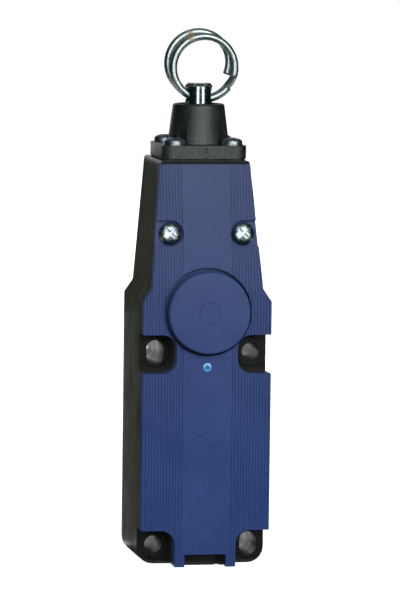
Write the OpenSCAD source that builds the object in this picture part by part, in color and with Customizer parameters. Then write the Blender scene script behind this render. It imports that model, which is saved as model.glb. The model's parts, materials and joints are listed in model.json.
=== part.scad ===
// Rope pull switch with a reset button, in a plastic enclosure with the common 30 x 60 mm fixing pattern.
// Frame: origin at the centre of the fixing pattern on the rear mounting face,
// X to the right seen from the front, Y into the wall that carries the switch, Z up along the pull.

/* [Enclosure] */
// Width of the lower body
body_w = 40; // [38:0.5:44]
// Depth from the mounting face to the front of the lower cover
body_d = 38; // [37:0.5:42]
// Height of the enclosure below the head
body_h = 125.5; // [123:0.5:132]
// Thickness of the side walls
wall = 3; // [2.4:0.1:3.2]
// Thickness of the rear wall, which holds screws
rear_wall = 4.5; // [4:0.5:5]
// Thickness of the floor, which holds the cable entry's thread
floor_t = 11; // [10:0.5:11.5]
// Height of the solid block under the head
roof_t = 8; // [7.5:0.5:9]
// Radius of the two bottom corners
corner_r = 5; // [3:0.5:6]
// Height of the shoulder's lower edge above the bottom
shoulder_h = 82.5; // [81:0.5:84]
// Height of the shoulder's slope
shoulder_rise = 3.9; // [3:0.1:5]
// Width of the neck just above the shoulder
neck_base_w = 34.6; // [33.5:0.1:36]
// Width of the neck at its top
neck_top_w = 28.2; // [28:0.1:30]
// How far the neck's front leans back at the top
neck_lean = 7.8; // [6.5:0.1:8.2]

/* [Fixing holes and cable entry] */
// Spacing of the fixing holes across
fix_x = 30; // [29:0.5:31]
// Spacing of the fixing holes along
fix_z = 60; // [59:0.5:61]
// Height of the lower fixing holes above the bottom
fix_edge = 6.2; // [6:0.1:7]
// Diameter of the fixing holes
fix_d = 5.3; // [4.5:0.1:5.5]
// Length of the two slotted fixing holes
slot_l = 7.3; // [6.5:0.1:7.6]
// Depth of the fixing recesses below the cover's front
ear_set = 9; // [8:0.5:10]
// Distance from a fixing hole's axis to the recess's inner wall
recess_in = 5.5; // [5.2:0.1:5.8]
// Height of the recess above and below an upper fixing hole's axis
recess_up = 6; // [5.4:0.1:6.2]
// Height of the corner recess above a lower fixing hole's axis
recess_low = 5.2; // [4.8:0.1:5.6]
// Radius of the recess corners
recess_r = 4.4; // [3:0.2:5]
// Thread core diameter of the cable entry, M20 x 1.5
entry_d = 18.4; // [18:0.1:18.6]

/* [Cover] */
// Thickness of the cover at its edges
cover_t = 4; // [3.5:0.1:4.2]
// Thickness of the cover's face
face_t = 2; // [1.8:0.1:2.1]
// Width of the cover's thick edge
rim_w = 1.8; // [1.4:0.1:2.2]
// Gap between the cover's top edge and the lip above it
lip_gap = 0.1; // [0.1:0.05:0.3]
// Height of the lip above the cover
lip_h = 0.9; // [0.8:0.1:1.4]
// Width of the notch between the cover's two legs
notch_w = 13; // [10:0.5:14]
// Height of the notch between the cover's two legs
notch_h = 3.9; // [3:0.1:5]
// Width of the smooth band down the middle of the cover
smooth_w = 15.6; // [14:0.2:18]
// Spacing of the decorative grooves
groove_pitch = 0.95; // [0.9:0.05:1.2]
// Width of a groove
groove_w = 0.34; // [0.3:0.02:0.5]
// Depth of a groove
groove_depth = 0.25; // [0.2:0.05:0.5]
// Spacing of the two cover screws
cover_screw_x = 22.8; // [22.4:0.1:23.2]
// Height of the cover screws above the bottom
cover_screw_h = 103.4; // [101:0.2:105]
// Radius of a screw pocket's round end
pocket_r = 4.1; // [3.9:0.1:4.3]
// Depth of a screw pocket
pocket_depth = 1.7; // [1.4:0.1:1.9]
// Thickness of the cover gasket
gasket_t = 0.6; // [0.5:0.1:1]
// How far the gasket lies inside the outline
gasket_in = 0.9; // [0.6:0.1:1.1]

/* [Head] */
// Distance of the pull axis behind the cover's front
axis_depth = 21; // [20.8:0.1:21.1]
// Width and depth of the head's square plate
plate_w = 26.6; // [26.2:0.1:27]
// Thickness of the head's plate
plate_t = 4.2; // [3.8:0.1:5]
// Corner radius of the head's plate
plate_r = 3.3; // [2.6:0.1:4]
// Thickness of the gasket under the head
head_gasket_t = 0.5; // [0.4:0.1:0.8]
// Height of the cone-shaped hub
hub_h = 12.4; // [12:0.1:14]
// Radius of the hub at its foot
hub_r_base = 9.6; // [9.4:0.1:9.8]
// Radius of the hub at its top
hub_r_top = 8.1; // [8:0.1:8.6]
// Spacing of the head screws, both ways
head_screw_span = 18; // [17.8:0.1:18.4]
// Radius of the clearance for a screw head in the hub
scallop_r = 4.1; // [3.9:0.1:4.3]

/* [Plunger] */
// Diameter of the plunger in the head
plunger_d = 9; // [8.6:0.1:9.2]
// How far the plunger stands out of the hub
plunger_out = 6.4; // [6.4:0.1:8]
// Diameter of the cross hole for the ring
eye_d = 6; // [6:0.05:6.2]
// Height of the cross hole's axis above the hub
eye_h = 2.7; // [2.7:0.05:2.9]
// Diameter of the plunger's lower part
rod_d = 6; // [5.6:0.1:6.4]
// Pull travel
pull = 7; // [6:0.5:7]
// Running clearance of the plunger in its bush, on the radius
run_gap = 0.05; // [0.03:0.01:0.09]
// Wall of the guide bush
bush_wall = 1.6; // [1.2:0.1:1.8]

/* [Ring] */
// Wire diameter of the split ring
wire_d = 2.35; // [2.2:0.05:2.35]
// Mean radius of the split ring's turns
ring_r = 9.7; // [9.6:0.1:10.5]
// Spacing of the two turns
ring_pitch = 2.44; // [2.42:0.01:2.46]
// How far the ring's centre lies to the right of the plunger's axis
ring_shift = 1.4; // [1.1:0.1:1.4]
// How far the rear turn is spread up and to the left
ring_spread = 1.35; // [0.8:0.05:1.35]
// Swing of the ring to the front and to the back, in degrees
ring_swing = 80; // [60:5:80]

/* [Reset button] */
// Diameter of the reset button's cap
cap_d = 25.2; // [24.6:0.1:25.4]
// How far the cap stands out of the cover
cap_out = 4; // [3.6:0.1:4.6]
// Radial gap round the cap
cap_gap = 1; // [0.7:0.05:1]
// Height of the button's axis above the bottom
reset_h = 79.3; // [79:0.1:79.6]
// Diameter of the button's stem
stem_d = 6; // [5.6:0.1:6.4]
// Reset travel
press = 2; // [1.6:0.1:2.2]
// Height of the indicator light above the bottom
light_h = 62.2; // [61.4:0.1:62.2]
// Diameter of the indicator light
light_d = 2.8; // [2.4:0.1:3]

/* [Screws] */
// Thread diameter of the head screws and the cover screws
screw_d = 3; // [2.8:0.1:3.2]
// Head diameter of the head screws
head_screw_head = 6.5; // [6:0.1:6.8]
// Head diameter of the cover screws
cover_screw_head = 7; // [6.6:0.1:7.2]
// Thread diameter of the screws inside
inner_screw_d = 2.6; // [2.4:0.1:2.8]

/* [Contacts] */
// Width of the contact block
block_w = 30; // [29:0.5:31]
// Height of the contact block's underside above the bottom
block_h0 = 18; // [17:0.5:18]
// Depth of the contact block from the rear wall to its front
block_d = 20; // [19.5:0.5:21]
// Height of the opening contact's upper face above the block's underside
nc_level = 27.5; // [27:0.5:28]
// Height of the closing contact's lower face above the block's underside
no_level = 16.5; // [16:0.5:17]
// Thickness of the contact strips and bridges
strip_t = 0.8; // [0.6:0.1:0.9]
// Distance of a terminal screw from the middle
term_x = 10.5; // [10.2:0.1:10.8]
// Length of a terminal screw in the block
term_screw_l = 5; // [4:0.5:6]
// Length of a contact bridge
bridge_l = 15.4; // [14.8:0.2:16]

/* [Hidden] */
$fn = 48;

tiny = 0.01;          // overlap that keeps two volumes of one piece joined
over = 1;             // how far a cut runs past the face it opens
fit = 0.15;           // clearance between parts that only locate each other
seat = 0.1;           // gap between sliding parts at a stop
boss_wall = 1.7;      // wall of a cover screw's boss
thread_gap = 0.05;    // radial gap round a screw's thread
tower_wall = 1.6;     // wall between the cavity and a fixing recess
spot_h = 0.4;         // height of the raised ring round a fixing hole
spot_w = 2;           // width of that ring
seal_w = 2;           // width of the gasket's strip across the neck's top
entry_relief = 0.8;   // how much wider the cable entry is above the floor
button_rim = 1.2;     // width of the thick ring round the button's opening

// Heights in the frame
z_bottom = -fix_z / 2 - fix_edge;
z_top = z_bottom + body_h;
z_cover_top = z_top - lip_h - lip_gap;
z_crease = z_bottom + shoulder_h + shoulder_rise;
z_reset = z_bottom + reset_h;
z_roof = z_top - roof_t;
z_plate = z_top + head_gasket_t;
z_hub = z_plate + plate_t;
z_hub_top = z_hub + hub_h;
z_eye = z_hub_top + eye_h;

// The pull axis and the head
y_front = -body_d;
y_axis = y_front + axis_depth;
head_span = head_screw_span / 2;
bush_r = plunger_d / 2 + run_gap;
bush_out = bush_r + bush_wall;
wiper_h = 2.2;
wiper_r = bush_out + 0.5;
bush_flange_r = bush_out + 1.4;
bush_flange_h = 1.2;

// The springs and the plunger's foot
spring_wire = 1.6;
spring_r = plunger_d / 2 + spring_wire / 2 + 1.3;
spring_turns = 6;
spring_len = 22;
plate_disc_t = 1.2;
spring_ends = 0.3;    // how far the spring's plate reaches past the spring
z_spring_plate = z_roof - spring_len - plate_disc_t;
clip_t = 0.8;
clip_w = 2.4;
groove_cut = 0.6;
carriage_head = 6.2;
foot_t = 2;
foot_r = rod_d / 2 + 1;
neck_r = rod_d / 2 - 0.8;
z_block = z_bottom + block_h0;
block_h = fix_z / 2 - recess_up - tower_wall - 0.6 - z_block;
z_block_top = z_block + block_h;
z_foot = z_block_top + 2.2;
z_latch = z_reset;
latch_t = 2;
notch_taper = 0.4;     // slope at the lower side of the latch groove
notch_cut = 0.8;      // depth of the latch groove

z_rod_foot = z_foot + foot_t + 2.8;
z_notch = z_latch - pull - latch_t / 2 - notch_taper - 0.1;
z_clip = z_spring_plate - clip_t - thread_gap;
ring_free = 0.06;     // clearance of the ring's wires in the cross hole
ring_drop = sqrt(pow((eye_d - wire_d) / 2 - ring_free, 2) - pow(ring_pitch / 2, 2));
ring_start = -22;
ring_end = 720 - 38;
jog_start = 322;
jog_end = 348;
hub_edge = 0.8;

// The reset button and its latch
open_r = cap_d / 2 + cap_gap;
cover_floor_t = 1.2;
y_cover_floor = y_front + cover_t - cover_floor_t;
y_cap_front = y_front - cap_out;
y_cap_back = y_cover_floor - press - 0.2;
cap_face_t = 1.6;
cap_wall = 1.8;
stem_boss_r = stem_d / 2 + 2.6;
stem_boss_l = 7;      // length of the stem's boss behind the cover
stem_out = 2;         // length of the stem behind that boss
y_boss_end = y_front + cover_t + stem_boss_l;
y_stem_end = y_boss_end + stem_out;
seal_wire = 1.5;
seal_r = stem_d / 2 + run_gap + seal_wire;
reset_spring_r = stem_boss_r + 1.2;
reset_spring_wire = 0.7;
tab_t = 1.8;
tab_w = 9;
tab_h = 8;
rear_tab_w = 7;
rear_tab_h = 6;
rear_tab_t = 1;
y_tab = y_stem_end + seat;
latch_w = 15;
latch_slot_r = rod_d / 2 + 0.3;
y_latch_end = y_axis + latch_slot_r + 2;
arm_in = latch_w / 2 - 0.6;
arm_t = 2.4;
guide_t = 2;
guide_w = 29;
guide_h = 8;
guide_screw_x = arm_in + arm_t + inner_screw_d * 0.9 + 0.3;
arm_h = 7;
y_arm = y_tab + tab_t + 0.6;
y_rear_wall = -rear_wall;
latch_spring_r = 2;
latch_spring_wire = 0.5;
inner_reach = 3.6;
head_screw_reach = 5.5;
cover_screw_l = 11;
cover_screw_reach = pocket_depth + cover_screw_l;

// The contact block
shaft_w = 8;
shaft_d = 8;
strip_w = 3;
rivet_r = 1.4;
rivet_h = 0.5;
rivet_x = shaft_w / 2 + rivet_r + 0.5;
bridge_w = 2.6;
contact_gap = 0.1;
contact_spring_l = 4.6;
contact_spring_r = 0.9;
contact_spring_wire = 0.35;
term_h = 7;
y_block_front = y_rear_wall - block_d;
clamp_w = 5.6;
clamp_t = 0.9;
bridge_lift = rivet_h + contact_gap;
nc_bridge = nc_level + bridge_lift;                                   // underside of the opening bridge
no_bridge = no_level - bridge_lift - pull - strip_t;                  // underside of the closing bridge

lean_rate = neck_lean / (z_cover_top - z_crease);
lean_angle = atan(lean_rate);

// Y of the cover's front face at a height
function front_y(z) = y_front + max(0, z - z_crease) * lean_rate;

function unit(v) = v / norm(v);

// Points that round the corner p between the directions u and v by the radius r
function corner(p, u, v, r, n) =
    let (half = acos(u * v) / 2,
         c = p + unit(u + v) * r / sin(half),
         s = p + u * r / tan(half) - c,
         e = p + v * r / tan(half) - c,
         a = atan2(s[1], s[0]),
         turn = atan2(e[1], e[0]) - a,
         d = turn > 180 ? turn - 360 : turn < -180 ? turn + 360 : turn)
    [for (i = [0:n]) c + r * [cos(a + d * i / n), sin(a + d * i / n)]];

// A closed outline whose corners [x, y, r] are rounded by r
function rounded(path, n = 5) =
    let (m = len(path))
    [for (i = [0:m - 1])
        let (p = [path[i][0], path[i][1]],
             before = path[(i + m - 1) % m],
             after = path[(i + 1) % m],
             u = unit([before[0], before[1]] - p),
             v = unit([after[0], after[1]] - p))
        each (path[i][2] > 0 ? corner(p, u, v, path[i][2], n) : [p])];

// A half outline on the right side, closed by its mirror image
function both_sides(half) =
    concat(half, [for (i = [len(half) - 1:-1:0]) [-half[i][0], half[i][1], half[i][2]]]);

// Front view of the enclosure, pulled in by a distance, up to a height
function front_outline(inset, top) =
    let (rise = inset / 2,
         x_low = body_w / 2 - inset,
         x_base = neck_base_w / 2 - inset,
         x_top = neck_top_w / 2 - inset)
    rounded(both_sides([
        [x_low, z_bottom + inset, max(corner_r - inset, 0.5)],
        [x_low, z_bottom + shoulder_h - rise, 1.5],
        [x_base, z_crease - rise, 1.5],
        [x_top, top, 0.4]]));

// Draws a front view (x, z) between two depths
module along_y(y0, y1) translate([0, y1, 0]) rotate([90, 0, 0]) linear_extrude(y1 - y0) children();

// Draws a side view (y, z) across the whole width
module across() translate([-body_w, 0, 0]) rotate([90, 0, 90]) linear_extrude(2 * body_w) children();

// A cylinder along Y from y0 to y1, with its axis at x, z
module rod_y(x, z, r, y0, y1) translate([x, y1, z]) rotate([90, 0, 0]) cylinder(r = r, h = y1 - y0);

// Side view of what lies between two distances behind the cover's front
module front_layer(from, to) {
    low = z_bottom - over;
    high = z_top + over;
    across() polygon([
        [front_y(low) + from, low], [front_y(z_crease) + from, z_crease], [front_y(high) + from, high],
        [front_y(high) + to, high], [front_y(z_crease) + to, z_crease], [front_y(low) + to, low]]);
}

// Side view of everything behind a distance from the cover's front
module behind_front(from) {
    low = z_bottom - over;
    high = z_top + over;
    across() polygon([
        [front_y(low) + from, low], [front_y(z_crease) + from, z_crease], [front_y(high) + from, high],
        [0, high], [0, low]]);
}

// Front view of the four fixing recesses, grown by a margin
module recesses(grow = 0) {
    x_in = fix_x / 2 - recess_in - grow;
    x_out = body_w;
    r = recess_r + grow;
    for (side = [-1, 1]) {
        polygon(rounded([
            [side * x_in, fix_z / 2 - recess_up - grow, r], [side * x_out, fix_z / 2 - recess_up - grow, 0],
            [side * x_out, fix_z / 2 + recess_up + grow, 0], [side * x_in, fix_z / 2 + recess_up + grow, r]]));
        polygon(rounded([
            [side * x_in, z_bottom - over, 0], [side * x_out, z_bottom - over, 0],
            [side * x_out, -fix_z / 2 + recess_low + grow, 0], [side * x_in, -fix_z / 2 + recess_low + grow, r]]));
    }
}

// Front view of the room inside the housing
module cavity_view() {
    x_in = fix_x / 2 - recess_in - tower_wall;
    z_in = recess_up + tower_wall;
    low_h = fix_edge + recess_low + tower_wall;
    difference() {
        intersection() {
            polygon(front_outline(wall, z_top));
            translate([-body_w / 2, z_bottom + floor_t]) square([body_w, body_h - floor_t - roof_t]);
        }
        for (side = [-1, 1]) translate([side > 0 ? x_in : -x_in - body_w, 0]) {
            translate([0, fix_z / 2 - z_in]) square([body_w, 2 * z_in]);
            translate([0, z_bottom]) square([body_w, low_h]);
        }
    }
}

// Holes for the fixing screws: round at lower left and upper right, slotted at the other two
module fixing_holes(r, y0, y1) {
    for (side = [-1, 1]) {
        rod_y(side * fix_x / 2, side * fix_z / 2, r, y0, y1);
        for (end = [-1, 1])
            rod_y(-side * fix_x / 2, side * fix_z / 2 + end * (slot_l - fix_d) / 2, r, y0, y1);
        along_y(y0, y1) translate([-side * fix_x / 2 - r, side * fix_z / 2 - (slot_l - fix_d) / 2])
            square([2 * r, slot_l - fix_d]);
    }
}

// Places its children at the four head screws
module at_head_screws() for (sx = [-1, 1], sy = [-1, 1])
    translate([sx * head_span, y_axis + sy * head_span, 0]) children();

// Places its children on the leaning front, with -Y square to the face, at both cover screws
module at_cover_screws() {
    z = z_bottom + cover_screw_h;
    for ($side = [-1, 1])
        translate([$side * cover_screw_x / 2, front_y(z), z]) rotate([-lean_angle, 0, 0]) children();
}

// A pan head with a cross recess and its shank: the head's underside is at z = 0, the shank points down
module pan_screw(d, head_d, head_h, length) {
    difference() {
        rotate_extrude() polygon(concat(
            [[0, 0], [head_d / 2, 0], [head_d / 2, head_h * 0.45]],
            [for (a = [15:15:75]) [head_d / 2 * cos(a), head_h * (0.45 + 0.55 * sin(a))]],
            [[0, head_h]]));
        for (turn = [0, 90]) rotate([0, 0, turn + 45])
            translate([-head_d * 0.3, -head_d * 0.055, head_h * 0.45]) cube([head_d * 0.6, head_d * 0.11, head_h]);
    }
    translate([0, 0, -length]) cylinder(d = d, h = length + tiny);
}

// A round wire along rings of points, each ring with the same number of sides
module wire_skin(rings) {
    n = len(rings) - 1;
    sides = len(rings[0]);
    side_faces = [for (i = [0:n - 1], k = [0:sides - 1])
        let (p = i * sides + k, q = i * sides + (k + 1) % sides)
        each [[p, p + sides, q], [q, p + sides, q + sides]]];
    polyhedron([for (ring = rings) each ring],
        concat([[for (k = [0:sides - 1]) k]], side_faces, [[for (k = [sides - 1:-1:0]) n * sides + k]]));
}

// A compression spring along Z from 0 to length; its two end turns are wound close
module helix(r, wire, turns, length, steps = 14, sides = 6) {
    close = wire * 1.06;
    run = length - wire;
    function height(t) = t < 1 ? close * t
        : t > turns - 1 ? run - close * (turns - t)
        : close + (t - 1) * (run - 2 * close) / (turns - 2);
    wire_skin([for (i = [0:turns * steps])
        let (a = 360 * i / steps, z = wire / 2 + height(i / steps))
        [for (k = [0:sides - 1]) let (b = 360 * k / sides, x = r + wire / 2 * cos(b))
            [x * cos(a), x * sin(a), z + wire / 2 * sin(b)]]]);
}

// ---- enclosure ----

module housing() color("#2b2a28") difference() {
    union() {
        difference() {
            union() {
                intersection() {
                    along_y(y_front - over, 0) polygon(front_outline(0, z_top - lip_h));
                    behind_front(cover_t + gasket_t);
                }
                // the block that carries the head fills the cover's hollow
                intersection() {
                    along_y(y_front - over, 0) polygon(front_outline(rim_w + fit, z_top - lip_h));
                    behind_front(face_t + fit);
                    translate([-body_w / 2, y_front, z_roof + seal_w + fit]) cube([body_w, body_d, roof_t]);
                }
                // the lip above the cover reaches as far forward as the cover does
                top_lip();
            }
            along_y(y_front - over, -rear_wall) cavity_view();
            along_y(y_front - over, y_front + ear_set) recesses();
        }
        intersection() {
            union() {
                for (side = [-1, 1], level = [-1, 1])
                    rod_y(side * fix_x / 2, level * fix_z / 2, fix_d / 2 + spot_w, y_front + ear_set - spot_h, -over);
                at_cover_screws() rotate([90, 0, 0]) translate([0, 0, -body_d])
                    cylinder(r = screw_d / 2 + boss_wall, h = body_d);
            }
            along_y(y_front - over, -over) polygon(front_outline(wall / 2, z_top - lip_h));
            behind_front(cover_t + gasket_t);
        }
    }
    fixing_holes(fix_d / 2, y_front - over, over);
    translate([0, y_axis, z_bottom - over]) cylinder(d = entry_d, h = block_h0);
    translate([0, y_axis, z_bottom + floor_t]) cylinder(r = entry_d / 2 + entry_relief, h = block_h0 - floor_t);
    translate([0, y_axis, z_roof - over]) cylinder(r = plunger_d / 2 + 0.5, h = roof_t + 2 * over);
    at_head_screws() translate([0, 0, z_top - head_screw_reach - 0.5])
        cylinder(r = screw_d / 2 + thread_gap, h = roof_t + over);
    at_cover_screws() rotate([90, 0, 0]) translate([0, 0, -cover_screw_reach - over])
        cylinder(r = screw_d / 2 + thread_gap, h = cover_screw_reach + 2 * over);
    guide_screw_holes();
    block_screw_holes();
    // a thumbnail slot in the wall behind the cover's notch
    translate([notch_w / 2 - 2.8, y_front + cover_t, z_bottom - over]) cube([1.3, gasket_t + 1.2, notch_h + over]);
}

module top_lip() {
    y0 = front_y(z_cover_top);
    along_y(y0, 0) polygon(rounded([
        [-neck_top_w / 2, z_top - lip_h, 0], [neck_top_w / 2, z_top - lip_h, 0],
        [neck_top_w / 2, z_top, 1], [-neck_top_w / 2, z_top, 1]]));
}

module cover() color("#2f3f7d") difference() {
    union() {
        difference() {
            intersection() {
                along_y(y_front - over, 0) polygon(front_outline(0, z_cover_top));
                front_layer(0, cover_t);
            }
            cover_hollow();
        }
        rod_y(0, z_reset, stem_boss_r, y_cover_floor, y_boss_end);
    }
    along_y(y_front - over, 0) recesses();
    along_y(y_front - over, 0) notch(0);
    rod_y(0, z_reset, open_r, y_front - over, y_cover_floor);
    rod_y(0, z_reset, stem_d / 2 + run_gap, y_front, 0);
    rod_y(0, z_reset, seal_r, y_front, y_cover_floor + seal_wire + 2 * thread_gap);
    rod_y(0, z_bottom + light_h, light_d / 2 + thread_gap, y_front - over, 0);
    at_cover_screws() screw_pocket();
    grooves();
}

// Front view of the notch between the cover's legs, grown by a margin
module notch(grow)
    translate([-notch_w / 2 - grow, z_bottom - over]) square([notch_w + 2 * grow, notch_h + grow + over]);

// The hollow in the back of the cover, which leaves its rim, its face and the screw and button seats
module cover_hollow() intersection() {
    front_layer(face_t, cover_t + over);
    along_y(y_front, 0) difference() {
        polygon(front_outline(rim_w, z_cover_top + over));
        recesses(rim_w);
        notch(rim_w);
        translate([0, z_reset]) circle(open_r + button_rim);
        translate([-body_w / 2, z_roof]) square([body_w, seal_w]);
        for (side = [-1, 1]) translate([side * cover_screw_x / 2, z_bottom + cover_screw_h]) {
            circle(pocket_r + 0.8);
            translate([side > 0 ? 0 : -body_w, -pocket_r - 0.8]) square([body_w, 2 * pocket_r + 1.6]);
        }
    }
}

// A pocket for a cover screw, open towards the nearer side, with the screw's hole in its floor
module screw_pocket() rotate([90, 0, 0]) {
    translate([0, 0, -pocket_depth]) {
        cylinder(r = pocket_r, h = body_d);
        translate([$side > 0 ? 0 : -body_w, -pocket_r, 0]) cube([body_w, 2 * pocket_r, body_d]);
    }
    translate([0, 0, -cover_t - over]) cylinder(r = screw_d / 2 + fit, h = body_d);
}

// Parallel decorative grooves on both sides of the smooth band
module grooves() intersection() {
    front_layer(-over, groove_depth);
    for (side = [-1, 1], x = [smooth_w / 2:groove_pitch:body_w / 2])
        translate([side * x - groove_w / 2, y_front - over, z_bottom - over])
            cube([groove_w, body_d, body_h + 2 * over]);
}

module cover_gasket() color("#1c1c1c") difference() {
    intersection() {
        front_layer(cover_t, cover_t + gasket_t);
        union() {
            along_y(y_front, 0) difference() {
                polygon(front_outline(gasket_in, z_cover_top));
                recesses(gasket_in - 0.2);
                notch(gasket_in);
                cavity_view();
                translate([-body_w / 2, z_roof + seal_w]) square([body_w, roof_t]);
            }
            at_cover_screws() rotate([90, 0, 0]) translate([0, 0, -body_d])
                cylinder(r = screw_d / 2 + boss_wall - 0.2, h = body_d);
        }
    }
    at_cover_screws() rotate([90, 0, 0]) translate([0, 0, -body_d])
        cylinder(r = screw_d / 2 + thread_gap, h = 2 * body_d);
}

module cover_screws() color("#c9ccd0") at_cover_screws() rotate([90, 0, 0])
    translate([0, 0, -pocket_depth]) pan_screw(screw_d, cover_screw_head, 2.5, cover_screw_l);

module indicator_light() color("#7fb4e6") translate([0, 0, z_bottom + light_h]) rotate([90, 0, 0]) {
    r = light_d / 2;
    lens_back = body_d - face_t;
    rotate_extrude() polygon([
        [0, lens_back - 4], [r, lens_back - 4], [r, lens_back - 1], [r + 0.8, lens_back - 1],
        [r + 0.8, lens_back], [r, lens_back], [r, body_d], [r * 0.6, body_d + 0.15], [0, body_d + 0.2]]);
}

// A square with rounded corners round the pull axis
module head_square(w, r) translate([0, y_axis]) polygon(rounded([
    [-w / 2, -w / 2, r], [w / 2, -w / 2, r], [w / 2, w / 2, r], [-w / 2, w / 2, r]]));

module head() color("#262626") difference() {
    union() {
        translate([0, 0, z_plate]) linear_extrude(plate_t) head_square(plate_w, plate_r);
        difference() {
            translate([0, y_axis, z_hub - tiny]) rotate_extrude() polygon(concat(
                [[0, 0], [hub_r_base, 0]],
                [for (a = [0:18:90]) [hub_r_top - hub_edge * (1 - cos(a)), hub_h - hub_edge * (1 - sin(a))]],
                [[0, hub_h + tiny]]));
            at_head_screws() translate([0, 0, z_hub]) cylinder(r = scallop_r, h = hub_h + over);
        }
    }
    translate([0, y_axis, z_plate - over]) cylinder(r = bush_out + thread_gap, h = hub_h + plate_t + 2 * over);
    translate([0, y_axis, z_plate - over]) cylinder(r = bush_flange_r + thread_gap, h = bush_flange_h + over);
    translate([0, y_axis, z_hub_top - wiper_h]) cylinder(r = wiper_r + thread_gap, h = wiper_h + over);
    at_head_screws() translate([0, 0, z_plate - over]) cylinder(r = screw_d / 2 + fit, h = plate_t + 2 * over);
    // alignment marks on each side of the plate, for the four ways the head can be turned
    translate([0, y_axis]) for (turn = [0:90:270], z = [z_plate, z_plate + plate_t * 0.58, z_plate + plate_t * 0.73])
        rotate(turn) rod_y(0, z, 0.5, -plate_w / 2 - over, 0.7 - plate_w / 2);
}

module head_gasket() color("#161616") translate([0, 0, z_top]) linear_extrude(head_gasket_t) difference() {
    head_square(plate_w - 0.6, plate_r);
    translate([0, y_axis]) circle(bush_out + fit);
    for (sx = [-1, 1], sy = [-1, 1]) translate([sx * head_span, y_axis + sy * head_span]) circle(screw_d / 2 + fit);
}

module head_screws() color("#b9bcc0") at_head_screws() translate([0, 0, z_hub])
    pan_screw(screw_d, head_screw_head, 2.3, plate_t + head_gasket_t + head_screw_reach);

module guide_bush() color("#b08d57") translate([0, y_axis, z_plate]) difference() {
    union() {
        cylinder(r = bush_out, h = plate_t + hub_h - wiper_h - thread_gap);
        cylinder(r = bush_flange_r, h = bush_flange_h - thread_gap);
    }
    translate([0, 0, -over]) cylinder(r = bush_r, h = plate_t + hub_h + over);
}

module wiper_seal() color("#141414") translate([0, y_axis, z_hub_top - wiper_h]) rotate_extrude()
    polygon([[bush_r, 0], [wiper_r, 0], [wiper_r, wiper_h - 0.3], [wiper_r - 0.5, wiper_h - 0.1],
        [bush_r + 0.6, wiper_h - 0.5], [bush_r, wiper_h - 0.1]]);

// ---- pull rod and ring ----

module plunger() color("#b4b6b8") difference() {
    r = plunger_d / 2;
    rod = rod_d / 2;
    z_end = z_hub_top + plunger_out;
    z_step = z_roof - 3;
    translate([0, y_axis, 0]) rotate_extrude() polygon([
        [0, z_foot], [foot_r, z_foot], [foot_r, z_foot + foot_t], [neck_r, z_foot + foot_t],
        [neck_r, z_rod_foot], [rod, z_rod_foot],
        [rod, z_notch], [rod - notch_cut, z_notch + notch_taper],
        [rod - notch_cut, z_notch + notch_taper + latch_t + 0.3], [rod, z_notch + notch_taper + latch_t + 0.3],
        [rod, z_clip - thread_gap], [rod - groove_cut, z_clip - thread_gap],
        [rod - groove_cut, z_clip + clip_t + thread_gap], [rod, z_clip + clip_t + thread_gap],
        [rod, z_step], [r, z_step + 1],
        [r, z_end - 1], [r - 1, z_end], [0, z_end]]);
    translate([-r - over, y_axis, z_eye]) rotate([0, 90, 0]) cylinder(d = eye_d, h = 2 * (r + over));
    // countersunk mouths of the cross hole
    for (side = [-1, 1]) translate([side * (r - 1.6), y_axis, z_eye]) rotate([0, side * 90, 0])
        cylinder(r1 = eye_d / 2 - 0.2, r2 = eye_d / 2 + 0.9, h = 2.2);
}

module spring_plate() color("#9aa0a6") translate([0, y_axis, z_spring_plate]) difference() {
    cylinder(r = spring_r + spring_wire / 2 + spring_ends, h = plate_disc_t);
    translate([0, 0, -over]) cylinder(r = rod_d / 2 + thread_gap, h = plate_disc_t + 2 * over);
}

// An open retaining ring of inner radius r, thickness t, along Z from 0
module retaining_clip(r, width, t) difference() {
    cylinder(r = r + width, h = t);
    translate([0, 0, -over]) cylinder(r = r, h = t + 2 * over);
    translate([-r * 0.8, 0, -over]) cube([r * 1.6, r + width + over, t + 2 * over]);
}

module plunger_clip() color("#5f6266") translate([0, y_axis, z_clip])
    retaining_clip(rod_d / 2 - groove_cut + thread_gap, clip_w, clip_t);

module pull_spring() color("#8d9196") translate([0, y_axis, z_roof - spring_len])
    helix(spring_r, spring_wire, spring_turns, spring_len, sides = 8);

// Height of a smooth step from 0 to 1
function smooth(t) = let (s = min(1, max(0, t))) s * s * (3 - 2 * s);

// Centre of the ring's wire at an angle: the rear turn first, then a jog to the front turn
function ring_point(a) =
    let (to_front = smooth((a - jog_start) / (jog_end - jog_start)),
         spread = a < 270 ? ring_spread * smooth(1.5 * (1 + sin(a))) : 0,
         tip = 0.2 * (1 - smooth((a - ring_start) / 45)))
    [(ring_r - tip) * cos(a) - spread,
     ring_pitch * (0.5 - to_front),
     (ring_r - tip) * sin(a) + spread];

module split_ring() color("#c4c8cc") translate([ring_shift, y_axis, z_eye - ring_drop + ring_r]) {
    sides = 12;
    step = (ring_end - ring_start) / 94;
    wire_skin([for (a = [ring_start:step:ring_end])
        let (p = ring_point(a),
             along = unit(ring_point(a + 1) - ring_point(a - 1)),
             out = unit([cos(a), 0, sin(a)] - along * (along * [cos(a), 0, sin(a)])),
             up = cross(along, out))
        [for (k = [0:sides - 1]) let (b = -360 * k / sides)
            p + wire_d / 2 * (cos(b) * out + sin(b) * up)]]);
}

// ---- reset ----

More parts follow.
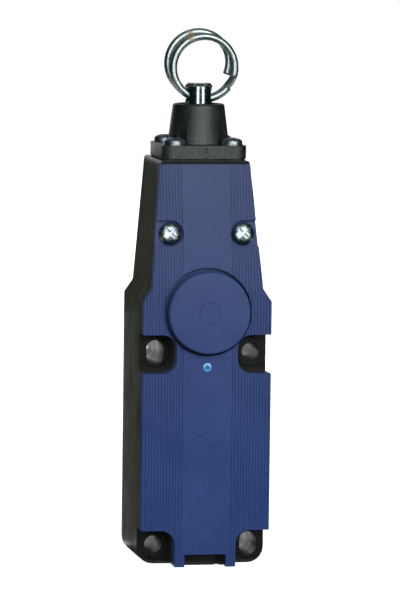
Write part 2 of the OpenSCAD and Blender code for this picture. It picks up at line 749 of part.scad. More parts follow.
module reset_button() color("#2f3f7d") translate([0, 0, z_reset]) rotate([90, 0, 0]) {
    r = cap_d / 2;
    stem = stem_d / 2;
    clip = -y_boss_end - seat;
    front = -y_cap_front;
    back = -y_cap_back;
    edge = 0.7;
    rotate_extrude() polygon(concat([
        [0, -y_stem_end], [stem - 0.4, -y_stem_end], [stem, -y_stem_end + 0.4],
        [stem, clip - clip_t - thread_gap], [stem - groove_cut, clip - clip_t - thread_gap],
        [stem - groove_cut, clip + thread_gap], [stem, clip + thread_gap],
        [stem, front - cap_face_t], [r - cap_wall, front - cap_face_t], [r - cap_wall, back], [r, back]],
        [for (a = [0:22.5:90]) [r - edge * (1 - cos(a)), front - edge * (1 - sin(a))]],
        [[3.5, front], [3.5, front - 0.15], [3.25, front - 0.15], [3.25, front], [0, front]]));
}

module reset_clip() color("#5f6266") translate([0, y_boss_end + seat + clip_t, z_reset]) rotate([90, 0, 0])
    retaining_clip(stem_d / 2 - groove_cut + thread_gap, clip_w, clip_t);

module reset_spring() color("#8d9196") translate([0, y_cover_floor, z_reset]) rotate([90, 0, 0])
    helix(reset_spring_r, reset_spring_wire, 3, y_cover_floor - (y_cap_front + cap_face_t), steps = 18);

module reset_seal() color("#141414") translate([0, y_cover_floor + seal_wire / 2 + thread_gap, z_reset])
    rotate([90, 0, 0]) rotate_extrude()
        translate([stem_d / 2 + run_gap + seal_wire / 2, 0]) circle(d = seal_wire - 0.02, $fn = 24);

module latch_plate() color("#a8acb0") difference() {
    union() {
        translate([-latch_w / 2, y_tab, z_latch - latch_t / 2]) cube([latch_w, y_latch_end - y_tab, latch_t]);
        translate([-tab_w / 2, y_tab, z_latch - tab_h / 2]) cube([tab_w, tab_t, tab_h]);
        translate([-rear_tab_w / 2, y_latch_end - rear_tab_t, z_latch - rear_tab_h / 2])
            cube([rear_tab_w, rear_tab_t, rear_tab_h]);
    }
    translate([0, 0, z_latch - latch_t]) {
        for (y = [y_axis - press, y_axis]) translate([0, y, 0]) cylinder(r = latch_slot_r, h = 2 * latch_t);
        translate([-latch_slot_r, y_axis - press, 0]) cube([2 * latch_slot_r, press, 2 * latch_t]);
    }
}

module latch_guide() color("#d8d2c0") difference() {
    union() {
        translate([-guide_w / 2, y_rear_wall - guide_t, z_latch - guide_h / 2]) cube([guide_w, guide_t, guide_h]);
        for (side = [-1, 1]) translate([side > 0 ? arm_in : -arm_in - arm_t, y_arm, z_latch - arm_h / 2])
            cube([arm_t, y_rear_wall - guide_t / 2 - y_arm, arm_h]);
    }
    translate([-latch_w / 2 - fit, y_tab, z_latch - latch_t / 2 - fit])
        cube([latch_w + 2 * fit, y_rear_wall - guide_t - y_tab, latch_t + 2 * fit]);
    guide_screw_holes();
}

module at_guide_screws() for (side = [-1, 1])
    translate([side * guide_screw_x, y_rear_wall - guide_t, z_latch]) rotate([90, 0, 0]) children();

module guide_screw_holes() at_guide_screws() translate([0, 0, -guide_t - inner_reach])
    cylinder(r = inner_screw_d / 2 + thread_gap, h = guide_t + inner_reach + over);

module guide_screws() color("#b9bcc0") at_guide_screws()
    pan_screw(inner_screw_d, inner_screw_d * 1.8, 1.6, guide_t + inner_reach - 0.3);

module latch_spring() color("#8d9196") translate([0, y_rear_wall - guide_t, z_latch]) rotate([90, 0, 0])
    helix(latch_spring_r, latch_spring_wire, 4, y_rear_wall - guide_t - y_latch_end, steps = 12);

// ---- contacts ----

// A box across the block: x0 to x1 on the given side, between two depths and two heights above the block
module on_side(side, x0, x1, y0, y1, z0, z1)
    translate([side > 0 ? x0 : -x1, y0, z_block + z0]) cube([x1 - x0, y1 - y0, z1 - z0]);

module contact_block() color("#e4dcc8") difference() {
    translate([-block_w / 2, y_block_front, z_block]) cube([block_w, block_d, block_h]);
    // the shaft that guides the carriage
    translate([-shaft_w / 2, y_axis - shaft_d / 2, z_block + 1.5]) cube([shaft_w, shaft_d, block_h]);
    bridge_room(nc_level - strip_t - seat, nc_bridge + strip_t + pull + 0.4);
    bridge_room(no_bridge - 0.4, no_level + strip_t + seat);
    for (side = [-1, 1]) {
        fixed_contact(side, nc_level, -1, seat);
        fixed_contact(side, no_level, 1, seat);
    }
    terminal_screw_holes();
    block_screw_holes();
}

// The room that a bridge moves in
module bridge_room(z0, z1) {
    w = bridge_l / 2 + 0.4;
    d = bridge_w / 2 + 0.4;
    translate([-w, y_axis - d, z_block + z0]) cube([2 * w, 2 * d, z1 - z0]);
}

// A bent strip from its rivet to its terminal; out is the side of the level that the strip lies on
module fixed_contact(side, level, out, grow = 0) {
    z0 = out > 0 ? level : level - strip_t;
    x_out = block_w / 2 - 1.2;
    x_room = grow > 0 ? block_w / 2 + over : x_out;
    y_rear = y_axis + strip_w / 2 + grow;
    y_near = y_axis - strip_w / 2 - grow;
    on_side(side, shaft_w / 2 + 0.4 - grow, x_room, y_near, y_rear, z0 - grow, z0 + strip_t + grow);
    on_side(side, x_out - strip_t - grow, x_room, y_block_front - (grow > 0 ? over : strip_t), y_rear,
        level - 3 - grow, z0 + strip_t + grow);
    if (grow == 0) {
        difference() {
            on_side(side, term_x - 3.2, x_out, y_block_front - strip_t, y_block_front - thread_gap,
                terminal_z(level) - term_h / 2, terminal_z(level) + term_h / 2);
            rod_y(side * term_x, z_block + terminal_z(level), inner_screw_d / 2 + thread_gap,
                y_block_front - over, y_block_front + over);
        }
        translate([side * rivet_x, y_axis, z_block + (out > 0 ? level - rivet_h : level - tiny)])
            cylinder(r = rivet_r, h = rivet_h + tiny);
    }
}

// Height of a terminal's screw above the block's underside
function terminal_z(level) = level - 2;

module fixed_contacts() color("#c8a24a") for (side = [-1, 1]) {
    fixed_contact(side, nc_level, -1);
    fixed_contact(side, no_level, 1);
}

module at_terminals() for (side = [-1, 1], level = [nc_level, no_level])
    translate([side * term_x, y_block_front - strip_t, z_block + terminal_z(level)]) rotate([90, 0, 0]) children();

module terminal_screw_holes() at_terminals() translate([0, 0, -term_screw_l - over])
    cylinder(r = inner_screw_d / 2 + thread_gap, h = term_screw_l + 2 * over);

module terminal_clamps() color("#d7d9db") at_terminals() difference() {
    translate([-clamp_w / 2, -clamp_w / 2, thread_gap]) cube([clamp_w, clamp_w, clamp_t]);
    cylinder(r = inner_screw_d / 2 + thread_gap, h = 2 * clamp_t + over);
}

module terminal_screws() color("#d7d9db") at_terminals() translate([0, 0, clamp_t + 2 * thread_gap])
    pan_screw(inner_screw_d, clamp_w - 0.4, 1.8, term_screw_l);

module at_block_screws() for (side = [-1, 1])
    translate([side * (block_w / 2 - 3.6), y_block_front, z_block + block_h / 2 + side * (block_h / 2 - 4.5)])
        rotate([90, 0, 0]) children();

module block_screw_holes() at_block_screws() translate([0, 0, -block_d - inner_reach])
    cylinder(r = inner_screw_d / 2 + thread_gap, h = block_d + inner_reach + over);

module block_screws() color("#b9bcc0") at_block_screws()
    pan_screw(inner_screw_d, inner_screw_d * 1.9, 1.8, block_d + inner_reach - 0.3);

module contact_carriage() color("#b5442e") difference() {
    w = shaft_w / 2 - fit;
    head_w = foot_r + fit + 1.6;
    z_head = z_block_top + 0.3;
    union() {
        translate([-w, y_axis - w, z_block + 2]) cube([2 * w, 2 * w, block_h - 2 + 0.3 + tiny]);
        translate([-head_w, y_axis - head_w, z_head]) cube([2 * head_w, 2 * head_w, carriage_head]);
    }
    // the slot that holds the plunger's foot, open to the front
    slot_room(foot_r + fit, z_foot - fit, z_foot + foot_t + fit);
    slot_room(neck_r + fit, z_foot, z_head + carriage_head + over);
    carriage_window(nc_bridge - thread_gap, nc_bridge + strip_t + contact_spring_l + thread_gap);
    carriage_window(no_bridge - contact_spring_l - thread_gap, no_bridge + strip_t + thread_gap);
}

// Room for a round part of the plunger that slides in from the front
module slot_room(r, z0, z1) {
    translate([0, y_axis, z0]) cylinder(r = r, h = z1 - z0);
    translate([-r, y_axis - 2 * foot_r - over, z0]) cube([2 * r, 2 * foot_r + over, z1 - z0]);
}

module carriage_window(z0, z1) translate([-shaft_w, y_axis - bridge_w / 2 - seat, z_block + z0])
    cube([2 * shaft_w, bridge_w + 2 * seat, z1 - z0]);

module contact_bridges() color("#d9b65c") for (z = [nc_bridge, no_bridge])
    translate([-bridge_l / 2, y_axis - bridge_w / 2, z_block + z]) cube([bridge_l, bridge_w, strip_t]);

module contact_springs() color("#8d9196") for (z = [nc_bridge + strip_t, no_bridge - contact_spring_l])
    translate([0, y_axis, z_block + z]) helix(contact_spring_r, contact_spring_wire, 5, contact_spring_l, steps = 10, sides = 5);

housing();
cover();
cover_gasket();
cover_screws();
indicator_light();
head();
head_gasket();
head_screws();
guide_bush();
wiper_seal();
plunger();
spring_plate();
plunger_clip();
pull_spring();
split_ring();
reset_button();
reset_clip();
reset_spring();
reset_seal();
latch_plate();
latch_guide();
guide_screws();
latch_spring();
contact_block();
block_screws();
contact_carriage();
contact_bridges();
contact_springs();
fixed_contacts();
terminal_screws();
terminal_clamps();
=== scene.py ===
import json
import math

import bmesh
import bpy
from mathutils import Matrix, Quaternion, Vector

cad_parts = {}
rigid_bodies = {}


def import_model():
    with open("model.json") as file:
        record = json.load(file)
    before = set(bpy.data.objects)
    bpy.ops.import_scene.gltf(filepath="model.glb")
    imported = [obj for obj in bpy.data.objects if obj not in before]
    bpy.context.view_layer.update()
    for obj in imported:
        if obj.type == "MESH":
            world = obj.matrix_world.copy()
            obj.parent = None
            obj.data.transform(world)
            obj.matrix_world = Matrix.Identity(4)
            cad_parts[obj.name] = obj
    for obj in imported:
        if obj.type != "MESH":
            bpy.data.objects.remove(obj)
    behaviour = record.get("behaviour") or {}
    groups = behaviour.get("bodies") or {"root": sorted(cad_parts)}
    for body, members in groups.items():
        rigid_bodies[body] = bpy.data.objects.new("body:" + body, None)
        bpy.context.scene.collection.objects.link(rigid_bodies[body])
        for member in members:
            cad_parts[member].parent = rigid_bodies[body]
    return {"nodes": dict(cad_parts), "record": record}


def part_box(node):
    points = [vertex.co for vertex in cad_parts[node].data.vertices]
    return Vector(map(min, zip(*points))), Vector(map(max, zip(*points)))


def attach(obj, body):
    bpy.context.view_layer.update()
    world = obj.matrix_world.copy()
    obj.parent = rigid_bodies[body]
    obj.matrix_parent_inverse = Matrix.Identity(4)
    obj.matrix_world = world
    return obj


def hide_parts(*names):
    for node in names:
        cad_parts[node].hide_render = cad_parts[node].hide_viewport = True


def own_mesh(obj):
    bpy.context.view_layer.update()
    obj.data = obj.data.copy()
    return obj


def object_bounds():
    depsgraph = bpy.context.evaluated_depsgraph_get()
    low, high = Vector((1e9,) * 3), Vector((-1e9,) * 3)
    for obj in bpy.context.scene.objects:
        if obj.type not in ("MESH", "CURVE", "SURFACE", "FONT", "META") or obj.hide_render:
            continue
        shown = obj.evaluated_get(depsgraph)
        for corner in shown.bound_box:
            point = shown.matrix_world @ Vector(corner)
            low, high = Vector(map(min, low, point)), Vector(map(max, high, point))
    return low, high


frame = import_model()
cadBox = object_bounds()
nodes = frame["nodes"]
mm = 0.001


def newObject(name, data):
    made = bpy.data.objects.new(name, data)
    bpy.context.scene.collection.objects.link(made)
    return made


def bearing(azimuth, elevation):  # unit vector towards the viewer; azimuth 0 is straight in front
    a, e = math.radians(azimuth), math.radians(elevation)
    return Vector((math.sin(a) * math.cos(e), -math.cos(a) * math.cos(e), math.sin(e)))


# camera: a long lens, a little to the left of the switch and above it
cameraSettings = {
    "target": (0.68, -20.0, 45.2),  # mm
    "azimuth": -10.41, "elevation": 5.32, "roll": 0.71,  # degrees
    "distance": 1572.0,  # mm
    "lens": 302.6, "sensor": 36.0,  # mm
    "clip": (0.05, 60),  # metres
}


def placeCamera(s):
    data = bpy.data.cameras.new("camera")
    data.lens, data.sensor_width = s["lens"], s["sensor"]
    data.clip_start, data.clip_end = s["clip"]
    camera = newObject("camera", data)
    away = bearing(s["azimuth"], s["elevation"])
    camera.location = (Vector(s["target"]) + away * s["distance"]) * mm
    camera.rotation_mode = "QUATERNION"
    level = (-away).to_track_quat("-Z", "Y")
    camera.rotation_quaternion = level @ Quaternion((0, 0, 1), math.radians(s["roll"]))
    bpy.context.scene.camera = camera


placeCamera(cameraSettings)
print("camera: %.0f mm lens at %.2f m" % (cameraSettings["lens"], cameraSettings["distance"] * mm))


def linear(hexColour):  # an sRGB hex colour by the sRGB curve, with full alpha
    parts = [int(hexColour[i:i + 2], 16) / 255 for i in (1, 3, 5)]
    return tuple(c / 12.92 if c <= 0.04045 else ((c + 0.055) / 1.055) ** 2.4 for c in parts) + (1.0,)


def perMm(size):  # noise scale for a feature of this many millimetres
    return 1.0 / (size * mm)


def addNode(tree, kind, settings=None, links=None):
    node = tree.nodes.new(kind)
    for name, value in (settings or {}).items():
        if isinstance(name, int) or name in node.inputs:
            node.inputs[name].default_value = value
        else:
            setattr(node, name, value)
    for name, socket in (links or {}).items():
        tree.links.new(socket, node.inputs[name])
    return node


def emptyTree(owner):  # of a material or the world
    owner.use_nodes = True
    owner.node_tree.nodes.clear()
    return owner.node_tree


def newMaterial(name, shader):
    material = bpy.data.materials.new(name)
    tree = emptyTree(material)
    body = addNode(tree, "ShaderNodeBsdfPrincipled", shader)
    addNode(tree, "ShaderNodeOutputMaterial", links={"Surface": body.outputs[0]})
    place = addNode(tree, "ShaderNodeTexCoord").outputs["Object"]
    return material, tree, body, place


# A mask of soft patches: the size is in mm, and noise from low to high gives a mask from dark to bright.
def patches(tree, place, size, low, high, detail=4.0, stretch=(1, 1, 1), dark=0.0, bright=1.0):
    spread = addNode(tree, "ShaderNodeMapping", {"Scale": stretch}, {"Vector": place})
    noise = addNode(tree, "ShaderNodeTexNoise", {"Scale": perMm(size), "Detail": detail},
                    {"Vector": spread.outputs[0]})
    return addNode(tree, "ShaderNodeMapRange",
                   {"From Min": low, "From Max": high, "To Min": dark, "To Max": bright},
                   {"Value": noise.outputs[0]}).outputs[0]


# Lays each coat's colour over what is under it, where its mask is bright. A colour is hex or a socket.
def coated(tree, ground, *coats):
    for mask, colour in coats:
        mix = addNode(tree, "ShaderNodeMix", {"data_type": "RGBA"}, {0: mask})
        for side, value in ((mix.inputs[6], ground), (mix.inputs[7], colour)):
            if isinstance(value, str):
                side.default_value = linear(value)
            else:
                tree.links.new(value, side)
        ground = mix.outputs[2]
    return ground


def paint(tree, body, ground, *coats):
    tree.links.new(coated(tree, ground, *coats), body.inputs["Base Color"])


def polish(tree, body, mask, dark, bright):  # roughness where the mask is dark, and where it is bright
    gloss = addNode(tree, "ShaderNodeMapRange", {"To Min": dark, "To Max": bright}, {"Value": mask})
    tree.links.new(gloss.outputs[0], body.inputs["Roughness"])


def emboss(tree, body, height, depth, strength):  # depth in mm, inwards where it is negative
    bump = addNode(tree, "ShaderNodeBump", {"Distance": depth * mm, "Strength": strength}, {"Height": height})
    tree.links.new(bump.outputs[0], body.inputs["Normal"])


# In each look, a pattern's size is in mm, relief is its depth in mm and its strength, and
# roughness is given for the dark and for the bright of the pattern that it follows.

# Housing: glass-filled polyamide, moulded in a spark-eroded tool. The fibres at the skin
# show as a grey-brown bloom in streaks along the flow, with a fine grain over them. The sides
# and the back, which the normal tells from the front, are painted grey. This is a painted sheen
# for the bright backdrop they reflect at a grazing angle, carrying the bloom's streaks and clouds.
housingLook = {
    "black": "#040504", "bloom": "#10110e", "dust": "#1c1c18",
    # painted sheen of the sides and back: its grey, its darker clouds and flecks, and its pale streaks
    "paintedSideSheen": "#373830", "paintedSheenDark": "#2a2b26", "pale": "#4a493f",
    "facing": (-0.85, -0.4),  # Y of the normal: black below the first, grey above the second
    "streak": dict(size=3.4, stretch=(1, 1, 3.4 / 15), detail=3.0, low=0.38, high=0.7),  # 15 mm long
    "cloud": dict(size=9.0, stretch=(1, 1, 0.7), detail=3.0, low=0.42, high=0.62),
    "grain": dict(size=0.32, detail=2.0, low=0.3, high=0.7),  # a real grain is finer; this just shows
    "relief": (0.03, 0.5), "roughness": (0.42, 0.26), "sheen": 0.2,
}


def glassFilledPolyamide(s):
    shader = {"IOR": 1.53, "Specular IOR Level": s["sheen"]}
    material, tree, body, place = newMaterial("glassFilledPolyamideMoulded", shader)
    streak = patches(tree, place, **s["streak"])
    cloud = patches(tree, place, **s["cloud"])
    grain = patches(tree, place, **s["grain"])
    fleck = addNode(tree, "ShaderNodeMath", {"operation": "MULTIPLY"}, {0: streak, 1: grain}).outputs[0]
    moulded = coated(tree, s["black"], (streak, s["bloom"]), (cloud, s["black"]), (fleck, s["dust"]))
    # the painted sheen of the sides and back, mottled like the front
    paintedSheen = coated(tree, s["paintedSideSheen"], (cloud, s["paintedSheenDark"]), (streak, s["pale"]), (fleck, s["paintedSheenDark"]))
    normal = addNode(tree, "ShaderNodeTexCoord").outputs["Normal"]
    facing = addNode(tree, "ShaderNodeSeparateXYZ", links={0: normal}).outputs["Y"]
    # painted sheen mask: 0 where the normal faces the front, 1 where it turns away
    paintedSheenMask = addNode(tree, "ShaderNodeMapRange", {"From Min": s["facing"][0], "From Max": s["facing"][1]},
                      {"Value": facing}).outputs[0]
    paint(tree, body, moulded, (paintedSheenMask, paintedSheen))
    polish(tree, body, streak, *s["roughness"])
    emboss(tree, body, grain, *s["relief"])
    return material


# Cover and button: self-coloured blue polyamide, moulded with a fine matt texture that
# takes off the shine and leaves a faint greyish mottle. Both are painted greyer with height up
# to the neck. This is a painted sheen for the light that the neck, leaning back, catches from above.
coverLook = {
    "blue": "#253d75", "pale": "#2c447d", "speck": "#3d4d85", "haze": "#66646c",
    # painted sheen: the haze colour is laid on more with height
    "paintedSheenFrom": 0.0, "paintedSheenTo": 88.0, "paintedSheenShare": 0.34,  # heights in mm, and the haze's share at the top
    "cloud": dict(size=14.0, detail=3.0, low=0.38, high=0.64),
    "grain": dict(size=0.35, detail=3.0, low=0.35, high=0.7),
    "relief": (0.02, 0.35), "roughness": (0.46, 0.58), "sheen": 0.1,
}
buttonLook = dict(coverLook, blue="#263f77", pale="#2d4680", cloud=dict(coverLook["cloud"], size=8.0))


def bluePolyamide(name, s):
    material, tree, body, place = newMaterial(name, {"IOR": 1.53, "Specular IOR Level": s["sheen"]})
    cloud = patches(tree, place, **s["cloud"])
    grain = patches(tree, place, **s["grain"])
    speck = addNode(tree, "ShaderNodeMath", {"operation": "POWER", 1: 2.0}, {0: grain}).outputs[0]
    height = addNode(tree, "ShaderNodeSeparateXYZ", links={0: place}).outputs["Z"]
    heights = {"From Min": s["paintedSheenFrom"] * mm, "From Max": s["paintedSheenTo"] * mm, "To Max": s["paintedSheenShare"]}
    # painted sheen, greyer with height
    haze = addNode(tree, "ShaderNodeMapRange", heights, {"Value": height}).outputs[0]
    paint(tree, body, s["blue"], (cloud, s["pale"]), (speck, s["speck"]), (haze, s["haze"]))
    polish(tree, body, grain, *s["roughness"])
    emboss(tree, body, grain, *s["relief"])
    return material


# Head: the same black polyamide without the bloom, in a coarser spark-eroded grain. Its grey
# specks are partly the grain's own tone and partly painted glitter, there wherever the light falls.
headLook = {
    "black": "#040505", "speck": "#454a47",
    "grain": dict(size=0.4, detail=3.0, low=0.42, high=0.72),
    "cloud": dict(size=5.0, detail=2.0, low=0.35, high=0.65, dark=0.3, bright=0.8),
    "relief": (0.09, 0.6), "roughness": (0.44, 0.32), "sheen": 0.74,
}


def grainedPolyamide(s):
    shader = {"IOR": 1.53, "Specular IOR Level": s["sheen"]}
    material, tree, body, place = newMaterial("blackPolyamideSparkEroded", shader)
    grain = patches(tree, place, **s["grain"])
    cloud = patches(tree, place, **s["cloud"])
    # grey specks: partly the grain's own tone, partly painted glitter
    speck = addNode(tree, "ShaderNodeMath", {"operation": "MULTIPLY"}, {0: grain, 1: cloud}).outputs[0]
    paint(tree, body, s["black"], (speck, s["speck"]))
    polish(tree, body, grain, *s["roughness"])
    emboss(tree, body, grain, *s["relief"])
    return material


# Seals: nitrile rubber, pressed, dull black with a bloom of talc.
sealLook = {
    "black": "#161616", "talc": "#3d3d3c",
    "cloud": dict(size=2.5, detail=5.0, low=0.45, high=0.75),
    "grain": dict(size=0.25, low=0.3, high=0.7), "relief": (0.02, 0.5),
}


def nitrileRubber(s):
    material, tree, body, place = newMaterial("nitrileRubberPressed", {"Roughness": 0.8, "IOR": 1.52})
    paint(tree, body, s["black"], (patches(tree, place, **s["cloud"]), s["talc"]))
    emboss(tree, body, patches(tree, place, **s["grain"]), *s["relief"])
    return material


# Screws: pressed steel with bright zinc plating, blued and passivated, so the grey has a
# cold cast with yellowish glints; the crystals of the plating break up the shine.
screwLook = {
    "dark": "#7f8794", "zinc": "#b9c0ca", "glint": "#d0cab0",
    "crystal": dict(size=0.9, detail=5.0, low=0.3, high=0.7),
    "tint": dict(size=1.8, detail=2.0, low=0.56, high=0.68),
    "relief": (0.01, 0.15), "roughness": (0.2, 0.34),
}
headScrewLook = dict(screwLook, roughness=(0.38, 0.46))  # tumbled, so their domes are duller


def zincPlatedSteel(name, s):
    material, tree, body, place = newMaterial(name, {"Metallic": 1.0})
    crystal = patches(tree, place, **s["crystal"])
    tint = patches(tree, place, **s["tint"])
    paint(tree, body, s["dark"], (crystal, s["zinc"]), (tint, s["glint"]))
    polish(tree, body, crystal, *s["roughness"])
    emboss(tree, body, crystal, *s["relief"])
    return material


# Plunger: stainless steel, turned and polished with the feed marks left as fine rings,
# which pull each light out along the rod.
plungerLook = {
    "shade": "#8f9193", "steel": "#bfc0c1",
    "feed": dict(size=0.16, stretch=(0.004, 0.004, 1), detail=3.0, low=0.3, high=0.7),
    "relief": (0.004, 0.2), "roughness": (0.12, 0.2),
}


def turnedSteel(s):
    material, tree, body, place = newMaterial("stainlessSteelTurned", {"Metallic": 1.0})
    rings = patches(tree, place, **s["feed"])
    paint(tree, body, s["shade"], (rings, s["steel"]))
    polish(tree, body, rings, *s["roughness"])
    emboss(tree, body, rings, *s["relief"])
    return material


# Latch plate and spring plate: cold-rolled steel, stamped, with rolling marks and oil.
plateLook = {
    "steel": "#a9abab", "oil": "#77756d",
    "rolling": dict(size=0.3, stretch=(1, 0.05, 0.05), detail=3.0, low=0.3, high=0.7),
    "stain": dict(size=3.0, low=0.5, high=0.75),
    "relief": (0.01, 0.4), "roughness": (0.28, 0.42),
}


def stampedSteel(s):
    material, tree, body, place = newMaterial("coldRolledSteelStamped", {"Metallic": 1.0})
    rolling = patches(tree, place, **s["rolling"])
    stain = patches(tree, place, **s["stain"])
    paint(tree, body, s["steel"], (stain, s["oil"]))
    polish(tree, body, rolling, *s["roughness"])
    emboss(tree, body, rolling, *s["relief"])
    return material


# Split ring: drawn wire with bright zinc plating, almost a mirror, with faint drawing
# scratches and two brown fingerprints of rust where the plating has gone.
ringLook = {
    "zinc": "#ccd3d5", "haze": "#b4bcbf", "brown": "#86703f",
    "scratch": dict(size=2.0, detail=1.0, low=0.3, high=0.7),
    "broken": dict(size=0.6, low=0.34, high=0.5),
    "marks": ((-2.8, -16.4, 127.9, 1.7), (-2.9, -19.2, 126.8, 1.6)),  # centre and radius, mm
    "full": 0.3,  # share of a mark's radius inside which the rust is full
    "roughness": (0.34, 0.38),
}


def rustMark(tree, place, broken, full, x, y, z, radius):
    away = addNode(tree, "ShaderNodeVectorMath", {"operation": "DISTANCE", 1: (x * mm, y * mm, z * mm)},
                   {0: place}).outputs["Value"]
    near = addNode(tree, "ShaderNodeMapRange", {"From Min": radius * mm, "From Max": radius * full * mm},
                   {"Value": away}).outputs[0]
    return addNode(tree, "ShaderNodeMath", {"operation": "MULTIPLY"}, {0: near, 1: broken}).outputs[0]


def zincPlatedWire(s):
    material, tree, body, place = newMaterial("zincPlatedWireDrawn", {"Metallic": 1.0})
    scratch = patches(tree, place, **s["scratch"])
    broken = patches(tree, place, **s["broken"])
    marks = [rustMark(tree, place, broken, s["full"], *mark) for mark in s["marks"]]
    paint(tree, body, s["zinc"], (scratch, s["haze"]), *((mark, s["brown"]) for mark in marks))
    rust = marks[0]
    for mark in marks[1:]:
        rust = addNode(tree, "ShaderNodeMath", {"operation": "ADD", "use_clamp": True},
                       {0: rust, 1: mark}).outputs[0]
    plated = addNode(tree, "ShaderNodeMath", {"operation": "SUBTRACT", 0: 1.0}, {1: rust}).outputs[0]
    tree.links.new(plated, body.inputs["Metallic"])
    polish(tree, body, scratch, *s["roughness"])
    return material


# Springs and clips: patented spring wire, dark and oiled, with drawing lines.
springLook = {
    "wire": "#85878a", "oil": "#4c4a46",
    "cloud": dict(size=1.2, low=0.4, high=0.7), "roughness": (0.22, 0.4),
}


def springWire(s):
    material, tree, body, place = newMaterial("springSteelWireDrawn", {"Metallic": 1.0})
    oil = patches(tree, place, **s["cloud"])
    paint(tree, body, s["wire"], (oil, s["oil"]))
    polish(tree, body, oil, *s["roughness"])
    return material


# Guide bush: sintered bronze, brown-gold and matt, full of fine oil pores.
bushLook = {
    "bronze": "#a07a45", "pore": "#4a3720",
    "pores": dict(size=0.22, detail=2.0, low=0.56, high=0.66), "relief": (-0.02, 0.5),
}


def sinteredBronze(s):
    material, tree, body, place = newMaterial("bronzeSintered", {"Metallic": 1.0, "Roughness": 0.46})
    pores = patches(tree, place, **s["pores"])
    paint(tree, body, s["bronze"], (pores, s["pore"]))
    emboss(tree, body, pores, *s["relief"])
    return material


# Fixed contacts: brass strip, stamped and bent, yellow with handling stains.
brassLook = {
    "brass": "#c6a452", "stain": "#8f6f35",
    "cloud": dict(size=2.2, low=0.48, high=0.72),
    "rolling": dict(size=0.25, stretch=(0.06, 1, 1), detail=3.0, low=0.3, high=0.7),
    "roughness": (0.22, 0.38),
}


def stampedBrass(s):
    material, tree, body, place = newMaterial("brassStripStamped", {"Metallic": 1.0})
    paint(tree, body, s["brass"], (patches(tree, place, **s["cloud"]), s["stain"]))
    polish(tree, body, patches(tree, place, **s["rolling"]), *s["roughness"])
    return material


# Contact bridges: silver-plated copper, pale and soft, tarnished in thin grey clouds.
silverLook = {
    "silver": "#dddcd6", "tarnish": "#8e8a7e",
    "cloud": dict(size=1.4, low=0.48, high=0.75), "roughness": (0.2, 0.42),
}


def silverPlate(s):
    material, tree, body, place = newMaterial("silverPlatedCopper", {"Metallic": 1.0})
    tarnish = patches(tree, place, **s["cloud"])
    paint(tree, body, s["silver"], (tarnish, s["tarnish"]))
    polish(tree, body, tarnish, *s["roughness"])
    return material


# Contact block, latch guide and carriage: acetal, moulded, waxy with slow flow clouds.
blockLook = {
    "pale": "#d6d3c6", "deep": "#bdb9aa",
    "cloud": dict(size=6.0, detail=3.0, low=0.35, high=0.65),
    "grain": dict(size=0.3, low=0.3, high=0.7),
    "relief": (0.01, 0.3), "roughness": (0.32, 0.45),
}
carriageLook = dict(blockLook, pale="#9c2f27", deep="#82231e", cloud=dict(blockLook["cloud"], size=5.0))


def mouldedAcetal(name, s):
    material, tree, body, place = newMaterial(name, {"IOR": 1.48})
    cloud = patches(tree, place, **s["cloud"])
    grain = patches(tree, place, **s["grain"])
    paint(tree, body, s["pale"], (cloud, s["deep"]))
    polish(tree, body, cloud, *s["roughness"])
    emboss(tree, body, grain, *s["relief"])
    return material


# Indicator: tinted polycarbonate, moulded clear. The middle shows the dark diode behind it;
# the lighter ring at the rim and the edge is painted light for the light that the rim gathers.
lensLook = {
    "radius": 1.4,  # mm
    "diode": (0.25, "#2f6fae"), "rim": (0.68, "#5f9fdc"), "glow": (0.98, "#4a95d0"),  # shares of the radius
    "cloud": dict(size=0.8, low=0.3, high=0.7, dark=0.08, bright=0.2),  # its roughness
}


def tintedPolycarbonate(s):
    shader = {"Roughness": 0.12, "IOR": 1.585, "Coat Weight": 0.3}
    material, tree, body, place = newMaterial("polycarbonateTinted", shader)
    middle = sum(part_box("indicator_light"), Vector()) / 2
    away = addNode(tree, "ShaderNodeMapping", {"Location": -middle}, {"Vector": place}).outputs[0]
    faceOn = {"operation": "MULTIPLY", 1: (1, 0, 1)}
    flat = addNode(tree, "ShaderNodeVectorMath", faceOn, {0: away}).outputs[0]
    length = addNode(tree, "ShaderNodeVectorMath", {"operation": "LENGTH"}, {0: flat}).outputs["Value"]
    share = addNode(tree, "ShaderNodeMapRange", {"From Max": s["radius"] * mm}, {"Value": length}).outputs[0]
    ramp = addNode(tree, "ShaderNodeValToRGB", links={0: share})
    stops = ramp.color_ramp.elements
    # the dark diode in the middle, then the painted light of the rim and the edge
    for stop, (position, colour) in ((stops[0], s["diode"]), (stops[1], s["glow"])):
        stop.position, stop.color = position, linear(colour)
    position, colour = s["rim"]
    stops.new(position).color = linear(colour)
    paint(tree, body, ramp.outputs[0])
    tree.links.new(patches(tree, place, **s["cloud"]), body.inputs["Roughness"])
    return material


looks = {
    "housing": glassFilledPolyamide(housingLook),
    "cover": bluePolyamide("bluePolyamideMoulded", coverLook),
    "button": bluePolyamide("bluePolyamideButton", buttonLook),
    "head": grainedPolyamide(headLook),
    "seal": nitrileRubber(sealLook),
    "screw": zincPlatedSteel("zincPlatedSteelPressed", screwLook),
    "headScrew": zincPlatedSteel("zincPlatedSteelTumbled", headScrewLook),
    "steel": turnedSteel(plungerLook),
    "plate": stampedSteel(plateLook),
    "zinc": zincPlatedWire(ringLook),
    "spring": springWire(springLook),
    "bronze": sinteredBronze(bushLook),
    "brass": stampedBrass(brassLook),
    "silver": silverPlate(silverLook),
    "acetal": mouldedAcetal("acetalMouldedNatural", blockLook),
    "carriage": mouldedAcetal("acetalMouldedRed", carriageLook),
    "lens": tintedPolycarbonate(lensLook),
}
print("materials: %d" % len(looks))

